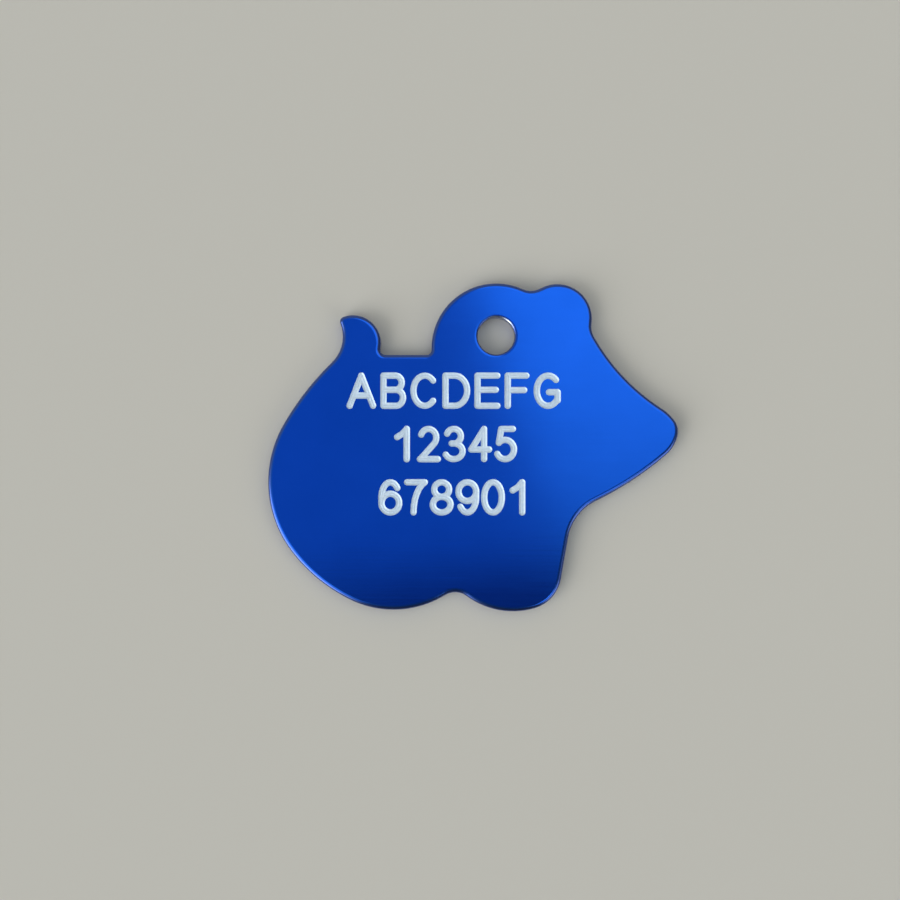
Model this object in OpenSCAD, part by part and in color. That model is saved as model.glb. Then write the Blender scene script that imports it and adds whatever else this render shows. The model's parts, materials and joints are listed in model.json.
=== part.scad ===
// Pet id tag: one blank of anodised aluminium sheet, stamped to the outline of a mouse.
// It lies face up. X runs from the rump to the nose, Y from the paws to the ears, and Z is the thickness.
// The origin is on the axis of the ring hole, at the back of the sheet.

/* [Blank] */
// Length from the rump to the tip of the nose
tag_length = 33; // [29:0.5:38]
// Height from the paw to the top of the ring lobe
tag_height = 26.4; // [23:0.2:30]
// Thickness of the sheet
sheet_thickness = 1.2; // [0.8:0.1:2]

/* [Rolled edges] */
// Radius that tumbling leaves along the edge of the face
face_edge_radius = 0.25; // [0.1:0.01:0.3]
// Radius that tumbling leaves along the edge of the back
back_edge_radius = 0.1; // [0.05:0.01:0.3]

/* [Ring hole] */
// Diameter of the hole for the split ring
hole_diameter = 3; // [2.4:0.1:3.6]
// Metal between the hole and the top edge
hole_wall = 2.75; // [2.2:0.05:3.2]
// Radius on both lips of the hole
hole_lip_radius = 0.12; // [0.05:0.01:0.2]

/* [Head] */
// Radius of the nose
nose_radius = 1.55; // [1.3:0.05:1.75]
// Hollow radius between the forehead and the ear
brow_radius = 1.6; // [1.2:0.1:2.4]
// Radius of the ear
ear_radius = 2.8; // [2.4:0.1:3.1]
// Hollow radius between the ear and the ring lobe
saddle_radius = 1.6; // [1:0.1:2.4]
// Radius of the lobe that holds the ring hole
ring_lobe_radius = 5.2; // [4.8:0.1:5.6]
// Hollow radius of the throat
throat_radius = 4; // [3:0.1:5]

/* [Tail and feet] */
// Radius of the two inner corners beside the tail
notch_corner_radius = 0.4; // [0.3:0.05:0.7]
// Radius over the back of the tail
tail_radius = 2.25; // [2:0.05:2.5]
// Radius of the tip of the tail
tail_tip_radius = 0.4; // [0.34:0.01:0.5]
// Hollow radius on the inner side of the tail
tail_hollow_radius = 2.9; // [2.4:0.1:3.4]
// Hollow radius between the belly and the paw
foot_notch_radius = 1.5; // [1:0.1:2.2]
// Radius at the front of the paw
paw_front_radius = 3; // [2.4:0.1:3.6]

/* [Hidden] */

// The long sweeps of the body follow the length of the tag
forehead_share = 0.5;
snout_share = 0.13;
back_share = 0.7;
rump_share = 0.28;
flank_share = 0.4;
belly_share = 0.24;
paw_share = 0.19;
jaw_share = 0.8;
chin_share = 0.09;
// So wide an arc that it passes for a straight side
straight_share = 50;

// The outline is drawn at this height for its length, and then set to the height of the tag
drawn_height_share = 0.8;
drawn_height = drawn_height_share * tag_length;
upright_stretch = tag_height / drawn_height;

// Each bend touches one point of the outline. In order, against the clock: the nose, the forehead, the ear,
// the ring lobe, the floor of the notch, the back of the tail, the hollow of the tail, the rump, the belly,
// the paw, the chest and the jaw. First come the points, from the lower left corner of the tag.
bend_place_shares = [
    [1, 0.548], [0.874, 0.706], [0.705, 0.998],
    [0.556, 1], [0.33, 0.782], [0.275, 0.818],
    [0.182, 0.838], [0, 0.395], [0.306, 0.005],
    [0.597, 0], [0.725, 0.175], [0.897, 0.407]
];
// The way that the edge faces at each point
facing_angles = [0, 44.5, 90, 90, 90, 0, 180, 180, 270, 270, 350, 304];
// The radius of each bend, less than zero where the outline is hollow
bend_radii = [
    nose_radius, -forehead_share * tag_length, ear_radius,
    ring_lobe_radius, straight_share * tag_length, tail_radius,
    -tail_hollow_radius, rump_share * tag_length, belly_share * tag_length,
    paw_share * tag_length, straight_share * tag_length, jaw_share * tag_length
];
// The radius of the arc that leads from each bend to the next
onward_radii = [
    snout_share * tag_length, -brow_radius, -saddle_radius,
    -notch_corner_radius, -notch_corner_radius, tail_tip_radius,
    back_share * tag_length, flank_share * tag_length, -foot_notch_radius,
    paw_front_radius, -throat_radius, chin_share * tag_length
];

// How finely the arcs are drawn
facet_length = 0.42;
facet_angle = 12;
face_edge_steps = 5;
back_edge_steps = 3;
lip_steps = 4;
hole_facets = 96;
// A triangle this much lower than its base is a sliver
sliver_share = 0.01;

// The rolled edges stay clear of the centre of the tail's tip, which is the sharpest bend
sharpest_share = 0.8;
face_edge = min(face_edge_radius, sharpest_share * tail_tip_radius);
back_edge = min(back_edge_radius, sharpest_share * tail_tip_radius);

// The ring hole stands above the middle of its lobe, which is the bend with this index
ring_lobe_index = 3;
hole_radius = hole_diameter / 2;
hole_place = [bend_place_shares[ring_lobe_index].x * tag_length, tag_height - hole_wall - hole_radius];
// Cutters run past the faces by this much
overrun = 0.5;

// A unit vector at an angle
function heading(angle) = [cos(angle), sin(angle)];

// An arc is its centre and its signed radius
function bend_arc(i) = let (
        place = [bend_place_shares[i].x * tag_length, bend_place_shares[i].y * drawn_height]
    ) [place - bend_radii[i] * heading(facing_angles[i]), bend_radii[i]];

// The arc of a given radius that touches arc a and arc b
function joining_arc(a, b, radius) = let (
        reach_a = abs(radius - a[1]),
        reach_b = abs(radius - b[1]),
        gap = b[0] - a[0],
        along = (reach_a * reach_a - reach_b * reach_b + gap * gap) / (2 * norm(gap)),
        aside = sqrt(max(0, reach_a * reach_a - along * along)),
        side = -sign((a[1] - radius) * (radius - b[1]) * radius),
        forward = gap / norm(gap)
    ) [a[0] + along * forward + side * aside * [-forward.y, forward.x], radius];

// The way that the edge faces where arc a runs into arc b
function touch_facing(a, b) = let (
        way = sign(a[1] - b[1]) * (b[0] - a[0])
    ) atan2(way.y, way.x);

// The turn from one facing to the next, to the left round a full arc and to the right round a hollow one
function turn(from, to, radius) = let (
        left = (to - from + 720) % 360
    ) radius > 0 ? left : left - 360;

// The number of straight facets in an arc
function facet_count(sweep, radius) = max(
        ceil(abs(sweep) / facet_angle),
        ceil(abs(radius * sweep * PI / 180) / facet_length)
    );

bend_count = len(bend_radii);
bend_arcs = [for (i = [0 : bend_count - 1]) bend_arc(i)];
arcs = [
    for (i = [0 : bend_count - 1])
        each [bend_arcs[i], joining_arc(bend_arcs[i], bend_arcs[(i + 1) % bend_count], onward_radii[i])]
];
arc_count = len(arcs);

// Each corner of the outline, as its arc's centre, its arc's radius and the way it faces
corners = [
    for (i = [0 : arc_count - 1])
        let (
            arc = arcs[i],
            start = touch_facing(arcs[(i + arc_count - 1) % arc_count], arc),
            sweep = turn(start, touch_facing(arc, arcs[(i + 1) % arc_count]), arc[1]),
            count = facet_count(sweep, arc[1])
        )
        for (j = [0 : count - 1]) [arc[0], arc[1], start + sweep * j / count]
];

// A point of the outline, moved inwards square to the edge
function edge_point(corner, inset) = let (
        facing = heading(corner[2]),
        drawn = corner[0] + corner[1] * facing,
        square = [facing.x * upright_stretch, facing.y],
        place = [drawn.x, drawn.y * upright_stretch] - hole_place
    ) place - inset * square / norm(square);

// The section of the edge from the back up to the face, as insets and heights
edge_section = [
    for (i = [0 : back_edge_steps])
        let (angle = 90 * i / back_edge_steps)
        [back_edge * (1 - sin(angle)), back_edge * (1 - cos(angle))],
    for (i = [0 : face_edge_steps])
        let (angle = 90 * i / face_edge_steps)
        [face_edge * (1 - cos(angle)), sheet_thickness - face_edge * (1 - sin(angle))]
];

// A corner of a flat ring between the two corners beside it
function triple(ring, i) = let (
        count = len(ring)
    ) [ring[(i + count - 1) % count], ring[i], ring[(i + 1) % count]];

// Whether a point lies in a triangle whose corners run against the clock
function holds(a, b, c, point) =
    cross(b - a, point - a) >= 0 && cross(c - b, point - b) >= 0 && cross(a - c, point - c) >= 0;

// An ear is a corner whose triangle is no sliver and holds no other corner of the ring
function is_ear(places, ring, i, slimness) = let (
        ends = triple(ring, i),
        a = places[ends[0]],
        b = places[ends[1]],
        c = places[ends[2]],
        held = [
            for (k = ring)
                if (k != ends[0] && k != ends[1] && k != ends[2] && holds(a, b, c, places[k])) k
        ]
    ) cross(b - a, c - b) > slimness * norm(c - a) ^ 2 && len(held) == 0;

// Cuts a flat ring into triangles: it takes one ear off, passes over a corner and goes on round the ring.
// Where a whole round finds no ear, the next round takes slivers too.
function triangles(places, ring, i = 0, passed = 0, found = []) = let (
        count = len(ring),
        at = i % count,
        slimness = passed > count ? 0 : sliver_share
    )
    count == 3 || passed > 2 * count
    ? [each found, ring]
    : !is_ear(places, ring, at, slimness)
    ? triangles(places, ring, at + 1, passed + 1, found)
    : triangles(
        places, [for (k = [0 : count - 1]) if (k != at) ring[k]], at + 1, 0, [each found, triple(ring, at)]
    );

// The sheet: the section of its edge is carried round the whole outline, and triangles close the back and
// the face
module rolled_sheet() {
    rows = len(edge_section);
    last = len(corners) - 1;
    ring = [for (i = [0 : last]) i];
    points = [
        for (corner = corners)
            for (step = edge_section)
                let (place = edge_point(corner, step[0]))
                [place.x, place.y, step[1]]
    ];
    edge = [
        for (i = ring)
            let (next = i == last ? 0 : i + 1)
            for (j = [0 : rows - 2])
                [i * rows + j, i * rows + j + 1, next * rows + j + 1, next * rows + j]
    ];
    back_places = [for (corner = corners) edge_point(corner, back_edge)];
    back = [for (ends = triangles(back_places, ring)) ends * rows];
    face_places = [for (corner = corners) edge_point(corner, face_edge)];
    face = [for (ends = triangles(face_places, ring)) [for (k = [2, 1, 0]) ends[k] * rows + rows - 1]];
    polyhedron(points, [each edge, each back, each face], convexity = 10);
}

// What the punch takes out for the ring, with rounded lips
module ring_hole() {
    flare = [
        for (i = [0 : lip_steps])
            let (angle = 90 * i / lip_steps)
            [hole_radius + hole_lip_radius * (1 - cos(angle)), hole_lip_radius * (1 - sin(angle))]
    ];
    lip = hole_radius + hole_lip_radius;
    rotate_extrude($fn = hole_facets)
        polygon([
            [0, -overrun],
            [lip, -overrun],
            for (i = [lip_steps : -1 : 0]) flare[i],
            for (i = [0 : lip_steps]) [flare[i].x, sheet_thickness - flare[i].y],
            [lip, sheet_thickness + overrun],
            [0, sheet_thickness + overrun]
        ]);
}

// The blank: one sheet of metal, pierced for the ring
module tag_blank() {
    color("#0d4fd0")
        difference() {
            rolled_sheet();
            ring_hole();
        }
}

tag_blank();
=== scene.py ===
# %% [markdown]
# # A pet id tag of blue anodised aluminium
#
# The tag is one piece of aluminium sheet, 33 mm long and 1.2 mm thick. A press stamps it to the outline of a
# mouse and punches the hole for a split ring. Then it is tumbled, dyed blue and engraved on its face.
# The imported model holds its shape, its size and its place. This script adds what the eye sees: the engraving,
# the finish of each surface, and the light.

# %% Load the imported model
import json
import math
import random

import bmesh
import bpy
from mathutils import Matrix, Vector

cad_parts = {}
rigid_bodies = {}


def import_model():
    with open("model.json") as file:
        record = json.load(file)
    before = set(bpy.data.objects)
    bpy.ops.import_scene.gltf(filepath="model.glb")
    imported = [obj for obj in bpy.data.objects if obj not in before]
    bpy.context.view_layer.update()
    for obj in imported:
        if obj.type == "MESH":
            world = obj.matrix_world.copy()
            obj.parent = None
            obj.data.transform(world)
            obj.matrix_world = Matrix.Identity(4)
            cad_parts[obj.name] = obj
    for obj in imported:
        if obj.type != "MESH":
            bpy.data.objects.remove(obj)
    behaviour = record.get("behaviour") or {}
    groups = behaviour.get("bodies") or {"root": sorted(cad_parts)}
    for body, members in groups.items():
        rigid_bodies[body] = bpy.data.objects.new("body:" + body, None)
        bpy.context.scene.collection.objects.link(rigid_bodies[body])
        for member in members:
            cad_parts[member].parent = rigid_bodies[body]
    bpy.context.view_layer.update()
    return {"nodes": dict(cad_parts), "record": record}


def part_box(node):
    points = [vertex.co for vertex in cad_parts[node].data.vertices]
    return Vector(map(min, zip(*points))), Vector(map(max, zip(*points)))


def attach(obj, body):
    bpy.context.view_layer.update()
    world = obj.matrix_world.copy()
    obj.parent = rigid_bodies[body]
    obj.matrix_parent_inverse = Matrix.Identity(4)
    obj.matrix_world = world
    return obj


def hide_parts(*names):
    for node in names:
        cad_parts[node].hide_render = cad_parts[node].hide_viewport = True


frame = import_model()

MM = 0.001
blank_low, blank_high = (Vector(corner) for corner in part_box("tag_blank"))
FACE_HEIGHT = blank_high.z
print("blank, mm:", [round(side / MM, 2) for side in blank_high - blank_low])

# %% [markdown]
# ## The camera
#
# The tag lies flat and is seen from straight above, with the camera close to it. So the far wall of the ring
# hole just shows, and nothing of the outer walls. An orthographic camera would be simpler, but it would hide
# that wall too. The picture is square, and its width covers 72 mm of the face. The focal length follows from
# that width and from the camera's height.

# %% Set the camera above the tag
PICTURE_WIDTH = 72.24 * MM
PICTURE_MIDDLE = Vector((-3.71, -9.16)) * MM
CAMERA_HEIGHT = 85 * MM
SENSOR_WIDTH = 36

camera = bpy.data.objects.new("camera", bpy.data.cameras.new("camera"))
camera.data.sensor_width = SENSOR_WIDTH
camera.data.lens = SENSOR_WIDTH * CAMERA_HEIGHT / PICTURE_WIDTH
camera.data.clip_start = 1 * MM
camera.location = (*PICTURE_MIDDLE, FACE_HEIGHT + CAMERA_HEIGHT)
bpy.context.collection.objects.link(camera)
bpy.context.scene.camera = camera
print("focal length, mm:", round(camera.data.lens, 1))

# %% [markdown]
# ## The engraver's alphabet
#
# An engraving machine doesn't fill letters in. It follows the middle of each stroke with a round-nosed
# cutter. So a letter here is a few strokes, each a list of points in a box that is one unit wide and one unit
# high. Blender's own text objects have filled letters, and would have no middle line to follow. Round
# stretches come from one arc function. The text is a plain run of letters and numbers.

# %% Draw the letters as strokes
# The turn from one point of an arc to the next, in degrees
ARC_STEP = 11


def arc(middle, reach, start, end):
    """Points along an ellipse from one angle to another, in degrees against the clock"""
    count = max(2, round(abs(end - start) / ARC_STEP))
    angles = [math.radians(start + (end - start) * i / count) for i in range(count + 1)]
    return [(middle[0] + reach[0] * math.cos(a), middle[1] + reach[1] * math.sin(a)) for a in angles]


SPINE = [(0, 0), (0, 1)]
TOP_BAR = [(0, 1), (1, 1)]
FOOT_BAR = [(0, 0), (1, 0)]

GLYPH_SHARES = {
    "A": [[(0, 0), (0.5, 1)], [(0.5, 1), (1, 0)], [(0.17, 0.34), (0.83, 0.34)]],
    "B": [
        SPINE,
        [(0, 1), *arc((0.6, 0.765), (0.33, 0.235), 90, -90), (0, 0.53)],
        [(0, 0.53), *arc((0.64, 0.265), (0.36, 0.265), 90, -90), (0, 0)],
    ],
    "C": [arc((0.52, 0.5), (0.52, 0.5), 42, 318)],
    "D": [SPINE, [(0, 1), *arc((0.42, 0.5), (0.58, 0.5), 90, -90), (0, 0)]],
    "E": [SPINE, TOP_BAR, [(0, 0.53), (0.92, 0.53)], FOOT_BAR],
    "F": [SPINE, TOP_BAR, [(0, 0.52), (0.88, 0.52)]],
    "G": [arc((0.5, 0.5), (0.5, 0.5), 46, 322), [(0.92, 0.18), (0.92, 0.45)], [(0.92, 0.45), (0.54, 0.45)]],
    "0": [arc((0.5, 0.5), (0.5, 0.5), 0, 360)],
    "1": [[(0.16, 0.73), (0.46, 0.84), (0.7, 1)], [(0.7, 1), (0.7, 0)]],
    "2": [[*arc((0.48, 0.71), (0.44, 0.29), 160, -42), (0.02, 0)], FOOT_BAR],
    "3": [
        [*arc((0.46, 0.76), (0.4, 0.24), 160, -90), (0.34, 0.52)],
        [(0.34, 0.52), *arc((0.46, 0.26), (0.5, 0.26), 90, -155)],
    ],
    "4": [[(0.72, 0), (0.72, 1)], [(0.72, 1), (0, 0.32)], [(0, 0.32), (1, 0.32)]],
    "5": [[(0.9, 1), (0.24, 1)], [(0.24, 1), (0.11, 0.54)], arc((0.46, 0.32), (0.5, 0.32), 135, -152)],
    "6": [[*arc((0.5, 0.5), (0.5, 0.5), 38, 180), (0, 0.31)], arc((0.5, 0.31), (0.5, 0.31), 0, 360)],
    "7": [TOP_BAR, arc((1.32, 0), (0.96, 1.064), 110, 180)],
    "8": [arc((0.5, 0.76), (0.42, 0.24), 0, 360), arc((0.5, 0.26), (0.5, 0.26), 0, 360)],
    "9": [arc((0.5, 0.69), (0.5, 0.31), 0, 360), [*arc((0.5, 0.5), (0.5, 0.5), 218, 360), (1, 0.69)]],
}
# Width of each letter for its height. All the digits are alike.
WIDTH_SHARES = {"A": 0.78, "B": 0.65, "C": 0.72, "D": 0.72, "E": 0.66, "F": 0.62, "G": 0.75}
DIGIT_WIDTH_SHARE = 0.587
print("letters and digits drawn:", "".join(GLYPH_SHARES))

# %% [markdown]
# ## The text on the face
#
# Three lines stand centred below the ring hole. Letters keep an even gap, and digits stand closer together.
# The engraving is drawn and cut in millimetres, and only the finished mesh goes back to metres. Blender's
# mesh tools take points that are a few hundred thousandths of a unit apart for one point, which in metres is
# the size of the finest facets here.

# %% Set the three lines, in millimetres
TEXT_LINES = ("ABCDEFG", "12345", "678901")
# Height and gaps run between the middles of strokes, and a stroke is about half a millimetre wide
LETTER_HEIGHT = 2.42
LETTER_GAP = 0.83
DIGIT_GAP = 0.64
FIRST_LINE_MIDDLE = Vector((-3.35, -4.4))
LINE_PITCH = 4.28


def glyph_width(glyph):
    """Width between the middles of a glyph's outer strokes"""
    return WIDTH_SHARES.get(glyph, DIGIT_WIDTH_SHARE) * LETTER_HEIGHT


def line_strokes(text, middle):
    """The strokes of one line of text, as points on the face"""
    gap = DIGIT_GAP if text.isdigit() else LETTER_GAP
    width = sum(glyph_width(glyph) for glyph in text) + gap * (len(text) - 1)
    left = middle.x - width / 2
    bottom = middle.y - LETTER_HEIGHT / 2
    strokes = []
    for glyph in text:
        wide = glyph_width(glyph)
        for stroke in GLYPH_SHARES[glyph]:
            strokes.append([Vector((left + x * wide, bottom + y * LETTER_HEIGHT)) for x, y in stroke])
        left += wide + gap
    return strokes


text_strokes = []
for row, text in enumerate(TEXT_LINES):
    text_strokes += line_strokes(text, FIRST_LINE_MIDDLE - Vector((0, row * LINE_PITCH)))
print("strokes to cut:", len(text_strokes))

# %% [markdown]
# ## The cutter
#
# Each stroke is cut in two passes, side by side, with a round-nosed tool. That leaves two troughs with a thin
# ridge between them, which shows as a fine line along the middle of a stroke. The cutter's shape is swept
# along the stroke: down one side, round its end, back along the other side, and round its start. The points
# on the middle line are then merged, which closes the shape. Each stroke is a little deeper or shallower than
# the next, as a thin sheet never lies quite flat under the tool.

# %% Sweep the cutter along the strokes, in millimetres
TOOL_RADIUS = 0.19
# How far each pass lies from the middle of the stroke
PASS_OFFSET = 0.09
CUT_DEPTH = 0.1
DEPTH_SPREAD = 0.012
SPREAD_SEED = 7
# The cutter stands this far proud of the face
OVERCUT = 0.05
TROUGH_STEPS = 9
END_STEPS = 10
# Points closer than this are one point
WELD = 0.0002


def trough_section(depth):
    """Half of the cutter's section, as offsets from the middle line and heights over the face"""
    tool_height = TOOL_RADIUS - depth
    outer = math.acos(tool_height / TOOL_RADIUS)
    inner = -math.asin(PASS_OFFSET / TOOL_RADIUS)
    angles = [outer + (inner - outer) * i / TROUGH_STEPS for i in range(TROUGH_STEPS + 1)]
    trough = [
        (PASS_OFFSET + TOOL_RADIUS * math.sin(angle), tool_height - TOOL_RADIUS * math.cos(angle))
        for angle in angles
    ]
    rim = trough[0][0]
    return [(0, OVERCUT), (rim, OVERCUT), *trough]


def side_stations(path, closed):
    """Where the half section stands along the right of a path, and which way it reaches there"""
    stations = []
    last = len(path) - 1
    for i, point in enumerate(path):
        before = path[i - 1] if i else (path[-2] if closed else path[0])
        after = path[i + 1] if i < last else (path[1] if closed else path[-1])
        along = (after - before).normalized()
        stations.append((point, Vector((along.y, -along.x))))
    return stations[:-1] if closed else stations


def turned(stations):
    """The half turn that takes the section round the end of a stroke"""
    point, reach = stations[-1]
    start = math.atan2(reach.y, reach.x)
    angles = [start + math.pi * i / END_STEPS for i in range(1, END_STEPS)]
    return [(point, Vector((math.cos(a), math.sin(a)))) for a in angles]


def sweep(bm, stations, section):
    """Carry the section round a closed loop of stations"""
    face_height = FACE_HEIGHT / MM
    rings = [
        [bm.verts.new((*(point + reach * offset), face_height + height)) for offset, height in section]
        for point, reach in stations
    ]
    for ring, following in zip(rings, rings[1:] + rings[:1]):
        for i in range(len(section) - 1):
            bm.faces.new((ring[i], ring[i + 1], following[i + 1], following[i]))


def cut_stroke(name, path, depth):
    """One closed cutter for one stroke"""
    bm = bmesh.new()
    section = trough_section(depth)
    closed = (path[0] - path[-1]).length < WELD
    right = side_stations(path, closed)
    left = side_stations(path[::-1], closed)
    if closed:
        sweep(bm, right, section)
        sweep(bm, left, section)
    else:
        sweep(bm, right + turned(right) + left + turned(left), section)
    bmesh.ops.remove_doubles(bm, verts=bm.verts, dist=WELD)
    bmesh.ops.recalc_face_normals(bm, faces=bm.faces)
    mesh = bpy.data.meshes.new(name)
    bm.to_mesh(mesh)
    bm.free()
    return bpy.data.objects.new(name, mesh)


depths = random.Random(SPREAD_SEED)
cutters = bpy.data.collections.new("cutters")
bpy.context.scene.collection.children.link(cutters)
for number, path in enumerate(text_strokes):
    depth = CUT_DEPTH + depths.uniform(-DEPTH_SPREAD, DEPTH_SPREAD)
    cutters.objects.link(cut_stroke(f"cutter_{number}", path, depth))

# %% [markdown]
# ## Node materials
#
# Colours are written as sRGB hex values, as a colour picker shows them, and one function turns them to the
# linear values that a shader wants. A second small function adds a node with its settings and its links.
# Where a node has several sockets of one name, a socket goes by its number: the Mix node takes its share at
# 0, two values at 2 and 3, and two colours at 6 and 7. Patterns are set in real sizes: a scale of one over a
# length makes a pattern with features of that length.

# %% Helpers for the materials
def linear(hex_colour):
    """An sRGB hex colour as linear red, green, blue and alpha, by the curve of the sRGB standard"""
    shares = [int(hex_colour[i:i + 2], 16) / 255 for i in (1, 3, 5)]
    return (*(s / 12.92 if s <= 0.04045 else ((s + 0.055) / 1.055) ** 2.4 for s in shares), 1)


def add_node(tree, kind, inputs=None, **settings):
    """Add a node, set its properties, and set or link its inputs"""
    made = tree.nodes.new(kind)
    for name, value in settings.items():
        setattr(made, name, value)
    for socket, value in (inputs or {}).items():
        if isinstance(value, bpy.types.NodeSocket):
            tree.links.new(value, made.inputs[socket])
        else:
            made.inputs[socket].default_value = value
    return made


def empty_material(name):
    """A material with no nodes yet, and its tree"""
    material = bpy.data.materials.new(name)
    material.use_nodes = True
    material.node_tree.nodes.clear()
    return material, material.node_tree


def compass(angle):
    """A level unit vector at an angle in degrees, against the clock from +X"""
    return Vector((math.cos(math.radians(angle)), math.sin(math.radians(angle))))


print("middle grey of a colour picker, linear:", round(linear("#808080")[0], 3))

# %% [markdown]
# ## Marks of rolling and punching
#
# The sheet was rolled, which leaves faint lines along its length. The press sheared its walls, which leaves
# fine upright marks. Pictures could show both, but noise that is stretched along the lines does it with
# nothing to load: the place on the tag is divided by how long and how wide a line is. The real lines are
# finer, and these are as coarse as they need to be to show.

# %% Draw the marks of rolling and punching
ROLLING_LINE_WIDTH = 0.16 * MM
ROLLING_LINE_LENGTH = 5 * MM
PUNCH_MARK_WIDTH = 0.12 * MM
PUNCH_MARK_LENGTH = 2 * MM


def streaks(tree, place, sizes, detail, roughness):
    """Streaks of the given sizes, as a share between zero and one"""
    stretched = add_node(tree, "ShaderNodeVectorMath", {
        0: place, 1: [1 / size for size in sizes],
    }, operation="MULTIPLY")
    noise = add_node(tree, "ShaderNodeTexNoise", {
        "Vector": stretched.outputs["Vector"], "Scale": 1, "Detail": detail, "Roughness": roughness,
    })
    return noise.outputs["Fac"]


def tool_marks(tree, place, edge):
    """Lines of rolling on the face, and marks of punching on the edges and walls"""
    line_sizes = (ROLLING_LINE_LENGTH, ROLLING_LINE_WIDTH, ROLLING_LINE_WIDTH)
    mark_sizes = (PUNCH_MARK_WIDTH, PUNCH_MARK_WIDTH, PUNCH_MARK_LENGTH)
    rolling = streaks(tree, place, line_sizes, 3, 0.6)
    punching = streaks(tree, place, mark_sizes, 2, 0.5)
    marks = add_node(tree, "ShaderNodeMix", {0: edge, 2: rolling, 3: punching}, data_type="FLOAT")
    return marks.outputs[0]


print("rolling lines in a millimetre:", round(MM / ROLLING_LINE_WIDTH, 1))

# %% [markdown]
# ## Wear on the lip of the hole
#
# A split ring rubs the lip of the hole on the side where it hangs, and takes the dye off there. Such wear
# could be painted by hand. Here it is worked out, as a share between zero and one, so that it stays right if
# the hole changes. It is the product of how near the hole a point lies, of how far it faces away from
# straight up and from level, of how far it lies to the ring's side, and of a fine noise that leaves the spot
# uneven.

# %% Work out the wear on the lip
ring_hole = next(mount for mount in frame["record"]["mounts"] if mount["name"] == "ring_hole")
HOLE_RADIUS = ring_hole["dims"]["r_mm"] * MM
# The lip of the hole is this wide
LIP_WIDTH = 0.12 * MM
# The compass direction of the side that the ring rubs, and how far to that side the wear starts and is full,
# as shares of the hole's radius
RING_SIDE, RING_SIDE_SHARES = 68, (0.7, 0.95)
# The upward part of the normal where the wear starts and where it is full
WEAR_START, WEAR_FULL = 0.1, 0.45
# The size of the rubbed spots, the stretch of their noise that counts, and the wear at its two ends
WEAR_SIZE = 0.5 * MM
SPOT_STRETCH, SPOT_WEAR_SHARES = (0.35, 0.65), (0.3, 1)


def lip_wear(tree, place, upright, edge):
    """How far the blue is rubbed off at a point"""
    flat_place = add_node(tree, "ShaderNodeVectorMath", {0: place, 1: (1, 1, 0)}, operation="MULTIPLY")
    radius = add_node(tree, "ShaderNodeVectorMath", {0: flat_place.outputs["Vector"]}, operation="LENGTH")
    near_hole = add_node(tree, "ShaderNodeMapRange", {
        "Value": radius.outputs["Value"],
        "From Min": HOLE_RADIUS + 2 * LIP_WIDTH, "From Max": HOLE_RADIUS + LIP_WIDTH,
    })
    on_lip = add_node(tree, "ShaderNodeMapRange", {
        "Value": upright, "From Min": WEAR_START, "From Max": WEAR_FULL,
    })
    to_the_side = add_node(tree, "ShaderNodeVectorMath", {
        0: flat_place.outputs["Vector"], 1: (*compass(RING_SIDE), 0),
    }, operation="DOT_PRODUCT")
    under_ring = add_node(tree, "ShaderNodeMapRange", {
        "Value": to_the_side.outputs["Value"],
        "From Min": RING_SIDE_SHARES[0] * HOLE_RADIUS, "From Max": RING_SIDE_SHARES[1] * HOLE_RADIUS,
    })
    rubbing = add_node(tree, "ShaderNodeTexNoise", {
        "Vector": place, "Scale": 1 / WEAR_SIZE, "Detail": 2, "Roughness": 0.5,
    })
    spots = add_node(tree, "ShaderNodeMapRange", {
        "Value": rubbing.outputs["Fac"], "From Min": SPOT_STRETCH[0], "From Max": SPOT_STRETCH[1],
        "To Min": SPOT_WEAR_SHARES[0], "To Max": SPOT_WEAR_SHARES[1],
    })
    wear = edge
    for part in (near_hole, on_lip, under_ring, spots):
        product = add_node(tree, "ShaderNodeMath", {0: wear, 1: part.outputs[0]}, operation="MULTIPLY")
        wear = product.outputs[0]
    return wear


print("hole, mm:", round(2 * HOLE_RADIUS / MM, 2))

# %% [markdown]
# ## Blue anodised aluminium
#
# Anodising turns the skin of the aluminium to a hard clear oxide, full of fine pores that take up a dye.
# Light passes the dye, meets the metal and comes back, so the finish is a coloured metal: fully metallic,
# with the dye as its base colour. A base that isn't metallic would look like paint. Rolling leaves the face
# with a satin gloss, and the dye lies on it in soft clouds. Tumbling has rounded the edges and left them
# rougher. They get a darker blue than the face, which is painted shade: it tones down the light lines along
# them. The oxide is clear alumina, which a clear coat gives, and it is on the edges that it shows, as a pale
# sheen.

# %% Make the anodised finish
DYE_CLOUD_SIZE = 4 * MM
# The edge colour is a darker blue than the face: painted shade, which tones down the light along the rolled
# edges
FACE_DYES, SHADED_EDGE_DYE, WORN_LIP = ("#1159d1", "#1861df"), "#1547a0", "#dbe7f7"
# The upward part of the normal where an edge starts, and where it counts in full
EDGE_START, EDGE_FULL = 0.998, 0.92
# The stretch of the marks that counts, the roughness at its two ends, and how much rougher the edges are
MARK_STRETCH, FACE_ROUGHNESS, EDGE_ROUGHENING = (0.25, 0.75), (0.12, 0.15), 0.1
# The share of clear oxide on the face and on the edges, its roughness, and the index of alumina
OXIDE_SHARES, OXIDE_ROUGHNESS, ALUMINA_IOR = (0.05, 0.75), 0.2, 1.77
# How high the marks stand
FINISH_RELIEF = 0.001 * MM


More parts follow.
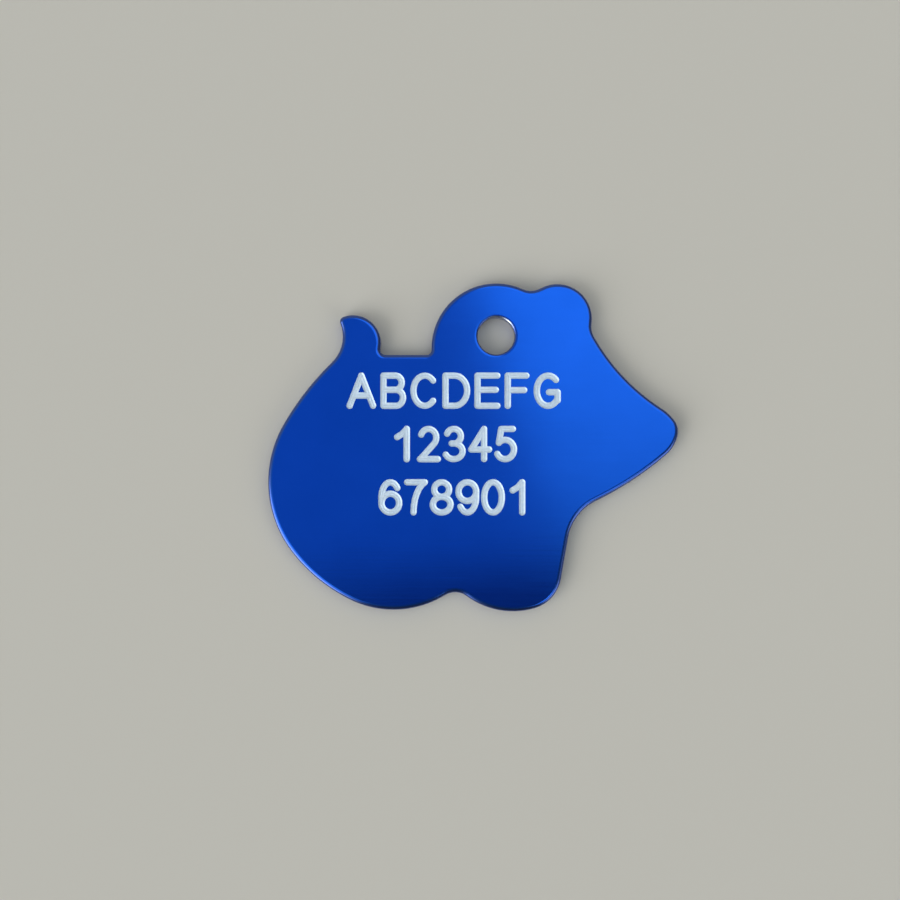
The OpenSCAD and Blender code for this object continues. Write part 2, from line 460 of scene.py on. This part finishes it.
def anodised_aluminium():
    """Satin rolled sheet, dyed blue, with tumbled edges"""
    material, tree = empty_material("blue_anodised_aluminium")
    coordinates = add_node(tree, "ShaderNodeTexCoord")
    place = coordinates.outputs["Object"]
    facing = add_node(tree, "ShaderNodeSeparateXYZ", {0: coordinates.outputs["Normal"]})
    upright = add_node(tree, "ShaderNodeMath", {0: facing.outputs["Z"]}, operation="ABSOLUTE").outputs[0]
    edge = add_node(tree, "ShaderNodeMapRange", {
        "Value": upright, "From Min": EDGE_START, "From Max": EDGE_FULL,
    }).outputs[0]
    marks = tool_marks(tree, place, edge)
    wear = lip_wear(tree, place, upright, edge)
    clouds = add_node(tree, "ShaderNodeTexNoise", {
        "Vector": place, "Scale": 1 / DYE_CLOUD_SIZE, "Detail": 3, "Roughness": 0.55,
    })
    face_dye = add_node(tree, "ShaderNodeMix", {
        0: clouds.outputs["Fac"], 6: linear(FACE_DYES[0]), 7: linear(FACE_DYES[1]),
    }, data_type="RGBA")
    # On the edges the blue turns darker: painted shade, which tones down the light that they reflect
    dye_and_edge_shade = add_node(tree, "ShaderNodeMix", {
        0: edge, 6: face_dye.outputs[2], 7: linear(SHADED_EDGE_DYE),
    }, data_type="RGBA")
    colour = add_node(tree, "ShaderNodeMix", {
        0: wear, 6: dye_and_edge_shade.outputs[2], 7: linear(WORN_LIP),
    }, data_type="RGBA")
    gloss = add_node(tree, "ShaderNodeMapRange", {
        "Value": marks, "From Min": MARK_STRETCH[0], "From Max": MARK_STRETCH[1],
        "To Min": FACE_ROUGHNESS[0], "To Max": FACE_ROUGHNESS[1],
    })
    roughness = add_node(tree, "ShaderNodeMath", {
        0: edge, 1: EDGE_ROUGHENING, 2: gloss.outputs[0],
    }, operation="MULTIPLY_ADD")
    oxide = add_node(tree, "ShaderNodeMapRange", {
        "Value": edge, "To Min": OXIDE_SHARES[0], "To Max": OXIDE_SHARES[1],
    })
    relief = add_node(tree, "ShaderNodeBump", {"Height": marks, "Distance": FINISH_RELIEF, "Strength": 1})
    metal = add_node(tree, "ShaderNodeBsdfPrincipled", {
        "Base Color": colour.outputs[2], "Metallic": 1, "Roughness": roughness.outputs[0],
        "Normal": relief.outputs["Normal"], "Coat Weight": oxide.outputs[0],
        "Coat Roughness": OXIDE_ROUGHNESS, "Coat IOR": ALUMINA_IOR,
    })
    add_node(tree, "ShaderNodeOutputMaterial", {"Surface": metal.outputs[0]})
    return material


anodised = anodised_aluminium()
print("finish:", anodised.name)

# %% [markdown]
# ## Bare cut aluminium
#
# The cutter goes through the dyed skin and lays the metal open. Fresh aluminium is almost white. Its colours
# here have a cold blue tint, which is painted light: it stands in for cool light on the bare metal. The tool
# leaves it matt and uneven, so it takes light from all round and looks bright beside the blue face. One noise
# sets the colour, the roughness and the bumps, as all three come from the same chatter of the tool.

# %% Make the cut finish
CHATTER_SIZE = 0.22 * MM
# Almost white, with a cold blue tint that is painted light: it stands in for cool light on the bare metal
COOL_LIT_CUT_COLOURS = ("#c0dcf8", "#fbffff")
# The stretch of the chatter that counts, and the roughness at its two ends
CHATTER_STRETCH, CUT_ROUGHNESS = (0.3, 0.7), (0.6, 0.75)
CUT_RELIEF = 0.012 * MM


def cut_aluminium():
    """Bright bare metal, as the engraving tool leaves it"""
    material, tree = empty_material("bare_cut_aluminium")
    place = add_node(tree, "ShaderNodeTexCoord")
    chatter = add_node(tree, "ShaderNodeTexNoise", {
        "Vector": place.outputs["Object"], "Scale": 1 / CHATTER_SIZE, "Detail": 3, "Roughness": 0.6,
    })
    colour = add_node(tree, "ShaderNodeMix", {
        0: chatter.outputs["Fac"], 6: linear(COOL_LIT_CUT_COLOURS[0]), 7: linear(COOL_LIT_CUT_COLOURS[1]),
    }, data_type="RGBA")
    roughness = add_node(tree, "ShaderNodeMapRange", {
        "Value": chatter.outputs["Fac"], "From Min": CHATTER_STRETCH[0], "From Max": CHATTER_STRETCH[1],
        "To Min": CUT_ROUGHNESS[0], "To Max": CUT_ROUGHNESS[1],
    })
    relief = add_node(tree, "ShaderNodeBump", {
        "Height": chatter.outputs["Fac"], "Distance": CUT_RELIEF, "Strength": 1,
    })
    metal = add_node(tree, "ShaderNodeBsdfPrincipled", {
        "Base Color": colour.outputs[2], "Metallic": 1, "Roughness": roughness.outputs[0],
        "Normal": relief.outputs["Normal"],
    })
    add_node(tree, "ShaderNodeOutputMaterial", {"Surface": metal.outputs[0]})
    return material


bare = cut_aluminium()
print("finish:", bare.name)

# %% [markdown]
# ## A wider roll of the edge
#
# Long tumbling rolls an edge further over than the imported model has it, and the width of the light line
# along the edge shows how far. So a copy of the blank gets a wider roll on its face. The roll starts further
# in, its points go down by up to 0.03 mm, and the outline and both flat faces stay. A Bevel modifier would
# start a new roll at each border of the old one, so the points that are there are moved instead.

# %% Copy the blank and widen its rolls, in millimetres
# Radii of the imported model's rolled edge and of the lip of its hole, and how much wider the rolls become
EDGE_RADIUS = 0.25
LIP_RADIUS = LIP_WIDTH / MM
ROLL_WIDENING = 0.13
# Neighbours that turn by less than this are one flat face
ONE_FACE_ANGLE = math.radians(0.1)


def copy_in_millimetres(node, name):
    """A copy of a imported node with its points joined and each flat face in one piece"""
    bm = bmesh.new()
    bm.from_mesh(node.data)
    bmesh.ops.scale(bm, vec=(1 / MM,) * 3, verts=bm.verts)
    bmesh.ops.remove_doubles(bm, verts=bm.verts, dist=WELD)
    bmesh.ops.dissolve_limit(bm, angle_limit=ONE_FACE_ANGLE, verts=bm.verts, edges=bm.edges)
    mesh = bpy.data.meshes.new(name)
    bm.to_mesh(mesh)
    bm.free()
    copy = bpy.data.objects.new(name, mesh)
    bpy.context.scene.collection.objects.link(copy)
    return copy


def wider_roll(drop, radius):
    """How far under the face the wider roll lies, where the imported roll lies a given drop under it"""
    inward = radius * (1 - math.sqrt(1 - (1 - drop / radius) ** 2))
    return radius * (1 - math.sqrt(1 - (1 - inward / (radius + ROLL_WIDENING)) ** 2))


def widen_rolls(mesh):
    """Start the rolled edge of the face and the lip of the hole further in on the face"""
    face_height = FACE_HEIGHT / MM
    bm = bmesh.new()
    bm.from_mesh(mesh)
    top = [face for face in bm.faces if all(abs(vert.co.z - face_height) < WELD for vert in face.verts)]
    bmesh.ops.inset_region(bm, faces=top, thickness=ROLL_WIDENING, use_boundary=True, use_even_offset=True)
    flat = {vert for face in top for vert in face.verts}
    for vert in bm.verts:
        near_hole = vert.co.xy.length < HOLE_RADIUS / MM + 2 * LIP_RADIUS
        radius = LIP_RADIUS if near_hole else EDGE_RADIUS
        drop = max(0, face_height - vert.co.z)
        if vert not in flat and drop < radius:
            vert.co.z = face_height - wider_roll(drop, radius)
    bm.to_mesh(mesh)
    bm.free()
    return len(flat)


tag = copy_in_millimetres(frame["nodes"]["tag_blank"], "engraved_tag")
tag.data.materials.append(anodised)
print("corners of the flat part of the face:", widen_rolls(tag.data))

# %% [markdown]
# ## Cut the strokes into the sheet
#
# A Boolean takes every cutter out of the copy. The Manifold solver is quick, and its result is closed as long
# as each shape that goes in is closed. The new faces keep the cutters' bare metal. Then edges that turn
# sharply are marked, the rest is shaded smooth, and the Weighted Normal modifier lets the large flat faces
# decide the shading, so that they stay flat right up to the rolled edge. Last, the faces with many corners
# are split into triangles while the mesh is still in millimetres.

# %% Engrave the tag
# An edge that turns by more than this is sharp
SHARP_ANGLE = math.radians(35)
# Faces with this many corners or more are split
MANY_CORNERS = 5


def with_modifiers(obj):
    """The object's mesh with its modifiers applied"""
    graph = bpy.context.evaluated_depsgraph_get()
    return bpy.data.meshes.new_from_object(obj.evaluated_get(graph))


def shade_by_angle(mesh):
    """Smooth shading, with sharp edges where the surface turns by more than the sharp angle"""
    mesh.polygons.foreach_set("use_smooth", [True] * len(mesh.polygons))
    bm = bmesh.new()
    bm.from_mesh(mesh)
    for edge in bm.edges:
        edge.smooth = edge.calc_face_angle(math.pi) < SHARP_ANGLE
    bm.to_mesh(mesh)
    bm.free()


for cutter in cutters.objects:
    cutter.data.materials.append(bare)

engrave = tag.modifiers.new("engrave", "BOOLEAN")
engrave.operation = "DIFFERENCE"
engrave.operand_type = "COLLECTION"
engrave.collection = cutters
engrave.solver = "MANIFOLD"
engrave.material_mode = "TRANSFER"
tag.data = with_modifiers(tag)
tag.modifiers.clear()
shade_by_angle(tag.data)

flatten = tag.modifiers.new("flatten", "WEIGHTED_NORMAL")
flatten.keep_sharp = True
split = tag.modifiers.new("split", "TRIANGULATE")
split.min_vertices = MANY_CORNERS
split.keep_custom_normals = True
tag.data = with_modifiers(tag)
tag.modifiers.clear()
tag.data.transform(Matrix.Scale(MM, 4))

for cutter in list(cutters.objects):
    bpy.data.objects.remove(cutter)
bpy.data.collections.remove(cutters)

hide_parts("tag_blank")
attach(tag, "root")
bare_faces = sum(1 for face in tag.data.polygons if tag.data.materials[face.material_index] == bare)
print("faces:", len(tag.data.polygons), "of which bare metal:", bare_faces)

# %% [markdown]
# ## Tools for the dome
#
# In a studio, lamps and panels stand round the object. Here they are painted on the world's dome, with soft
# borders. Area lamps could stand there instead, but the floor gets darker away from them, and a shiny face
# shows their straight borders.
#
# What is painted is either a round patch, or a panel that ends at a straight border. The border is set by the
# spot on the face where it shows: the camera's ray is mirrored there, and goes up to a point of the dome. For
# rays that are nearly upright, that point is the ray's slope, which is the distance of the spot from the
# middle of the picture, over the camera's height.

# %% Make the tools for the dome
world = bpy.data.worlds.new("studio")
world.use_nodes = True
dome = world.node_tree
dome.nodes.clear()
ray = add_node(dome, "ShaderNodeTexCoord").outputs["Generated"]


def region(way, start, end):
    """A share of the dome that grows smoothly from zero to one as rays turn to one way in space"""
    nearness = add_node(dome, "ShaderNodeVectorMath", {0: ray, 1: way}, operation="DOT_PRODUCT")
    return add_node(dome, "ShaderNodeMapRange", {
        "Value": nearness.outputs["Value"], "From Min": start, "From Max": end,
    }, interpolation_type="SMOOTHSTEP").outputs["Result"]


def towards(direction, start, end):
    """The part of the dome in one compass direction, from the lean where it starts to where it is full"""
    return region((*compass(direction), 0), start, end)


def beyond(spot, direction, softness):
    """The part beyond the border that shows at a spot on the face, in one compass direction"""
    slope = (spot - PICTURE_MIDDLE).dot(compass(direction)) / CAMERA_HEIGHT
    return towards(direction, slope - softness, slope + softness)


def patch(direction, from_overhead, inner, outer):
    """A round patch"""
    down, inner, outer = (math.radians(angle) for angle in (from_overhead, inner, outer))
    middle = (*(math.sin(down) * compass(direction)), math.cos(down))
    return region(middle, math.cos(outer), math.cos(inner))


def paint(under, share, colour, level):
    """Paint light over a share of what is there"""
    light = add_node(dome, "ShaderNodeBackground", {"Color": linear(colour), "Strength": level})
    return add_node(dome, "ShaderNodeMixShader", {0: share, 1: under, 2: light.outputs[0]}).outputs[0]


print("dome:", world.name)

# %% [markdown]
# ## The room and its lamps
#
# The room is dim, brighter on the left and darker on the near side. A large low lamp at the lower left gives
# the short soft shadow and lights the rolled edge on that side. A smaller one at the lower right picks out
# the edge under the jaw, and a small patch of light the edge at the forehead. All of them stand low enough
# that the flat face doesn't show them to the camera. A level of one is as bright as white paper.

# %% Paint the room and its lamps
# The room, its near side and its left side
ROOM_COLOUR, ROOM_LEVEL, NEAR_LEVEL, SIDE_LEVEL = "#f6efe4", 0.25, 0.12, 0.6
# The compass directions of those two sides, and the leans of a ray where each starts and is full
NEAR_SIDE = (270, 0.15, 0.5)
LEFT_SIDE = (160, -0.5, 0.5)
# Lamps and the smaller patch: compass direction, angle from overhead, and the radii where the light starts to
# fade and where it ends, all in degrees
LAMP_COLOUR, GLOW_COLOUR = "#ffffff", "#edf9ff"
KEY_PATCH, KEY_LEVEL = (213, 62, 14, 33), 3.6
JAW_PATCH, JAW_LEVEL = (322, 62, 8, 23), 1.8
BROW_PATCH, BROW_LEVEL = (43, 36, 9, 22), 1.1

room = add_node(dome, "ShaderNodeBackground", {"Color": linear(ROOM_COLOUR), "Strength": ROOM_LEVEL})
studio = paint(room.outputs[0], towards(*LEFT_SIDE), ROOM_COLOUR, SIDE_LEVEL)
studio = paint(studio, towards(*NEAR_SIDE), ROOM_COLOUR, NEAR_LEVEL)
studio = paint(studio, patch(*BROW_PATCH), GLOW_COLOUR, BROW_LEVEL)
studio = paint(studio, patch(*KEY_PATCH), LAMP_COLOUR, KEY_LEVEL)
studio = paint(studio, patch(*JAW_PATCH), LAMP_COLOUR, JAW_LEVEL)
print("nodes in the dome:", len(dome.nodes))

# %% [markdown]
# ## The panels over the face
#
# A shiny flat face shows whatever hangs over it, so three panels overhead make the face's slow change from
# dark to bright: a dim one, a brighter cool one, and a bright white one on the side of the nose. The same
# could be painted into the dye, but it would stay there when the tag is seen from another side. Three small
# patches go over the panels and the room. Two of them brighten the rolled edge at the rump and the paw, and a
# dark one keeps a dark line inside the light one along the jaw.

# %% Paint the panels
DIM_COLOUR, DIM_LEVEL = "#6caaff", 0.11
COOL_COLOUR, COOL_LEVEL = "#abd9ff", 0.54
GLOW_LEVEL = 1.18
# The dim and the white panel lie over the cool one: a spot on the border, the compass direction in which the
# panel lies, and half the border's width as a slope
DIM_BORDER = (Vector((-3.7, -19.0)) * MM, 276, 0.026)
GLOW_BORDER = (Vector((1.0, -3.54)) * MM, 18, 0.012)
# The white panel is brighter towards the ears: its share of light at two leans of a ray
EARS_DIRECTION, FADE_LEANS, FADE_SHARES = 90, (-0.06, 0.12), (0.72, 1.12)
# The patch that holds the panels, and the three small ones, given as the lamps are
PANEL_PATCH = (60, 8, 17, 27)
SHADE_PATCH = (322, 23, 6, 13)
RUMP_PATCH, RUMP_LEVEL = (218, 31, 8, 17), 1.4
PAW_PATCH, PAW_LEVEL = (308, 30, 4, 10), 1.9

to_the_ears = add_node(dome, "ShaderNodeVectorMath", {
    0: ray, 1: (*compass(EARS_DIRECTION), 0),
}, operation="DOT_PRODUCT")
glow = add_node(dome, "ShaderNodeMapRange", {
    "Value": to_the_ears.outputs["Value"], "From Min": FADE_LEANS[0], "From Max": FADE_LEANS[1],
    "To Min": GLOW_LEVEL * FADE_SHARES[0], "To Max": GLOW_LEVEL * FADE_SHARES[1],
})
cool = add_node(dome, "ShaderNodeBackground", {"Color": linear(COOL_COLOUR), "Strength": COOL_LEVEL})
panels = paint(cool.outputs[0], beyond(*GLOW_BORDER), GLOW_COLOUR, glow.outputs["Result"])
panels = paint(panels, beyond(*DIM_BORDER), DIM_COLOUR, DIM_LEVEL)
hung = add_node(dome, "ShaderNodeMixShader", {0: patch(*PANEL_PATCH), 1: studio, 2: panels})
studio = paint(hung.outputs[0], patch(*SHADE_PATCH), ROOM_COLOUR, NEAR_LEVEL)
studio = paint(studio, patch(*RUMP_PATCH), GLOW_COLOUR, RUMP_LEVEL)
studio = paint(studio, patch(*PAW_PATCH), GLOW_COLOUR, PAW_LEVEL)
add_node(dome, "ShaderNodeOutputWorld", {"Surface": studio})
bpy.context.scene.world = world
bpy.context.scene.view_settings.view_transform = "Standard"
print("nodes in the dome:", len(dome.nodes))

# %% [markdown]
# ## The floor
#
# A plain pale sheet of card, much larger than the picture. It is matt, so it shows only the tag's shadow. A
# slab could lie there, but one flat square is enough, as only its upper side is seen.

# %% Lay the floor
FLOOR_HALF = 1500 * MM
# The floor lies this far under the tag's back, so that the two never share a plane
FLOOR_DROP = 0.01 * MM
CARD_COLOUR, CARD_ROUGHNESS = "#cfccc3", 0.9

floor_material, floor_tree = empty_material("pale_card")
card = add_node(floor_tree, "ShaderNodeBsdfPrincipled", {
    "Base Color": linear(CARD_COLOUR), "Roughness": CARD_ROUGHNESS,
})
add_node(floor_tree, "ShaderNodeOutputMaterial", {"Surface": card.outputs[0]})

floor_mesh = bpy.data.meshes.new("floor")
corners = [(x * FLOOR_HALF, y * FLOOR_HALF, -FLOOR_DROP) for x, y in ((-1, -1), (1, -1), (1, 1), (-1, 1))]
floor_mesh.from_pydata(corners, [], [(0, 1, 2, 3)])
floor_mesh.materials.append(floor_material)
floor = bpy.data.objects.new("floor", floor_mesh)
bpy.context.scene.collection.objects.link(floor)
print("floor, mm:", round(2 * FLOOR_HALF / MM))
